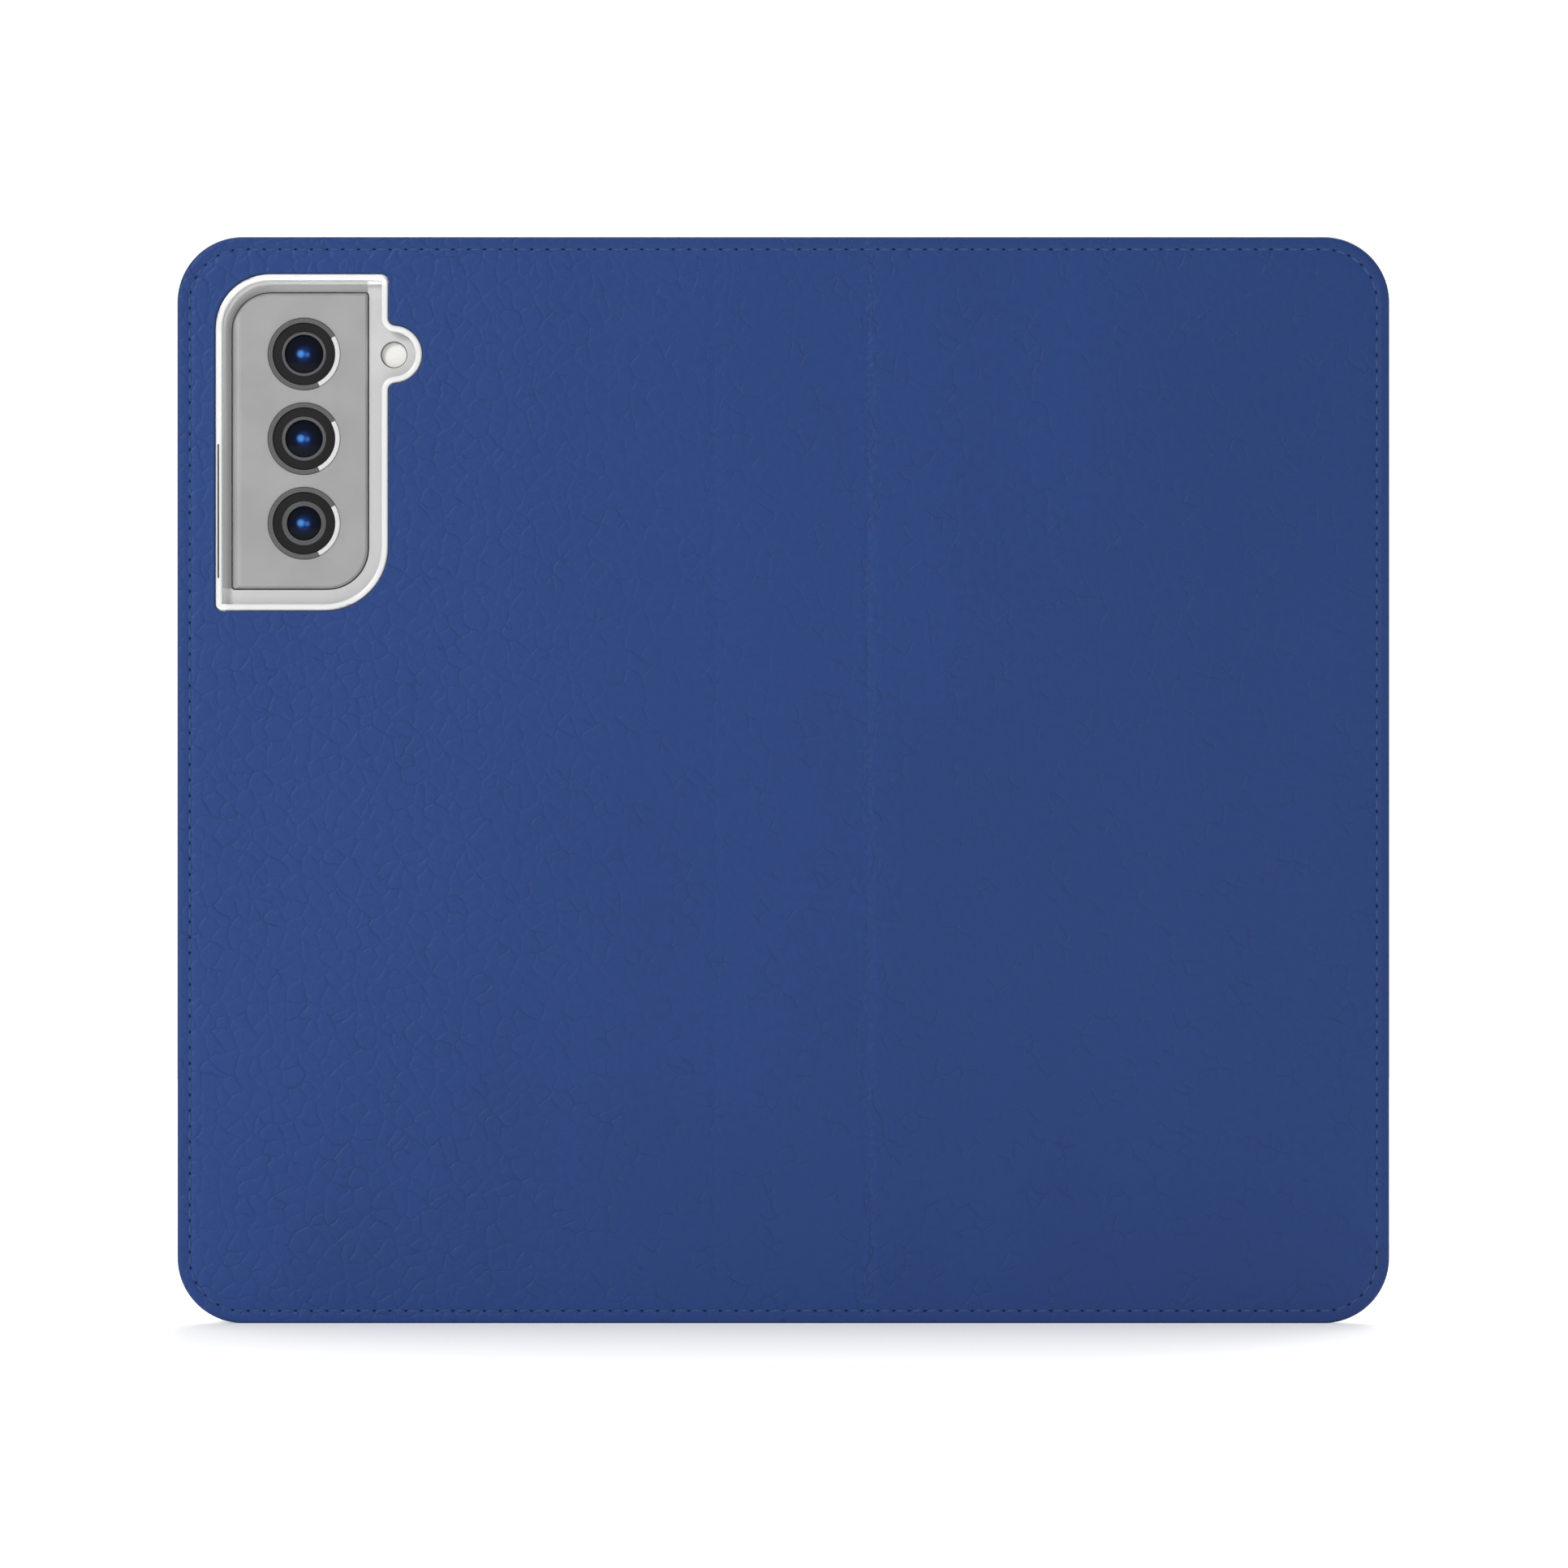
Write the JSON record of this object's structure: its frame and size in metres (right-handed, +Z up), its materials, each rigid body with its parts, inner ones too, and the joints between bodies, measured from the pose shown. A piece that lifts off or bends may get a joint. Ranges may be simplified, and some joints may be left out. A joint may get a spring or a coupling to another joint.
{
  "type": "phone wallet case",
  "caption": "Book-style phone wallet case lying open: hinged padded leather covers, clear phone tray with camera window, inner card and cash pockets, removable phone.",
  "frame": {"origin": "middle of the spine's bottom edge, half way through the spine's two skins, level with both crease axes", "axes": "+X across the open case from the back cover (with the camera window) to the front cover; +Y from the outside of the case to its inside; +Z up the phone, from its charging port to its camera"},
  "size_m": [0.1852, 0.0119, 0.166],
  "materials": {
    "outer_leather": "pebbled imitation leather, satin",
    "pocket_leather": "pebbled imitation leather, satin",
    "board": "grey bookbinding board, matte",
    "lining": "fine-grained imitation leather, satin",
    "thread": "waxed polyester thread, tone on tone",
    "keeper_steel": "thin steel plate",
    "magnet": "plated sintered magnet",
    "adhesive": "double-sided foam tape",
    "clear_tray": "clear moulded plastic, polished",
    "phone_metal": "bead-blasted, satin grey",
    "phone_back": "matte grey",
    "phone_core": "plain, hidden",
    "display": "black when off",
    "cover_glass": "polished",
    "lens_glass": "coated, polished",
    "mesh": "fine woven mesh, dark",
    "port_steel": "satin",
    "trim_metal": "dark polished ring",
    "black_glass": "black, polished",
    "bezel": "dark satin",
    "flash": "white diffuser"
  },
  "bodies": {
    "back_cover": {"back_outer_leather": "outer_leather", "back_stiffener_board": "board", "back_lining": "lining", "back_edge_stitching": "thread", "back_keeper_plates": "keeper_steel", "tray_adhesive_pad": "adhesive", "phone_tray": "clear_tray"},
    "spine": {"spine_outer_leather": "outer_leather", "spine_lining": "lining", "spine_edge_stitching": "thread"},
    "front_cover": {"front_outer_leather": "outer_leather", "front_stiffener_board": "board", "front_lining": "lining", "front_edge_stitching": "thread", "front_closure_magnets": "magnet", "cash_pocket": "pocket_leather", "card_pocket_inner": "pocket_leather", "card_pocket_middle": "pocket_leather", "card_pocket_outer": "pocket_leather", "card_pocket_stitching": "thread"},
    "phone": {"phone_frame": "phone_metal", "phone_back_panel": "phone_back", "phone_core": "phone_core", "display_panel": "display", "display_glass": "cover_glass", "selfie_lens": "lens_glass", "earpiece_mesh": "mesh", "charging_port": "port_steel", "camera_island": "phone_metal", "lens_trim_rings": "trim_metal", "lens_windows": "black_glass", "lens_bezels": "bezel", "lens_glasses": "lens_glass", "flash_lens": "flash"},
    "volume_rocker": {"volume_rocker": "phone_metal"},
    "power_key": {"power_key": "phone_metal"}
  },
  "joints": [
    {"name": "back_crease", "type": "hinge", "parent": "back_cover", "child": "spine", "pos_m": [-0.00885, 0, 0.083], "axis": [0, 0, -1], "range_deg": [-90, 90]},
    {"name": "front_crease", "type": "hinge", "parent": "spine", "child": "front_cover", "pos_m": [0.00885, 0, 0.083], "axis": [0, 0, -1], "range_deg": [-90, 90]},
    {"name": "phone_lift", "type": "slide", "parent": "back_cover", "child": "phone", "axis": [0, 1, 0], "range_m": [0, 0.03]},
    {"name": "volume_rocker_tilt", "type": "hinge", "parent": "phone", "child": "volume_rocker", "pos_m": [-0.08485, 0.00685, 0.1241], "axis": [0, 1, 0], "range_deg": [-1.4, 1.4]},
    {"name": "power_key_press", "type": "slide", "parent": "phone", "child": "power_key", "axis": [1, 0, 0], "range_m": [0, 0.0003]}
  ]
}
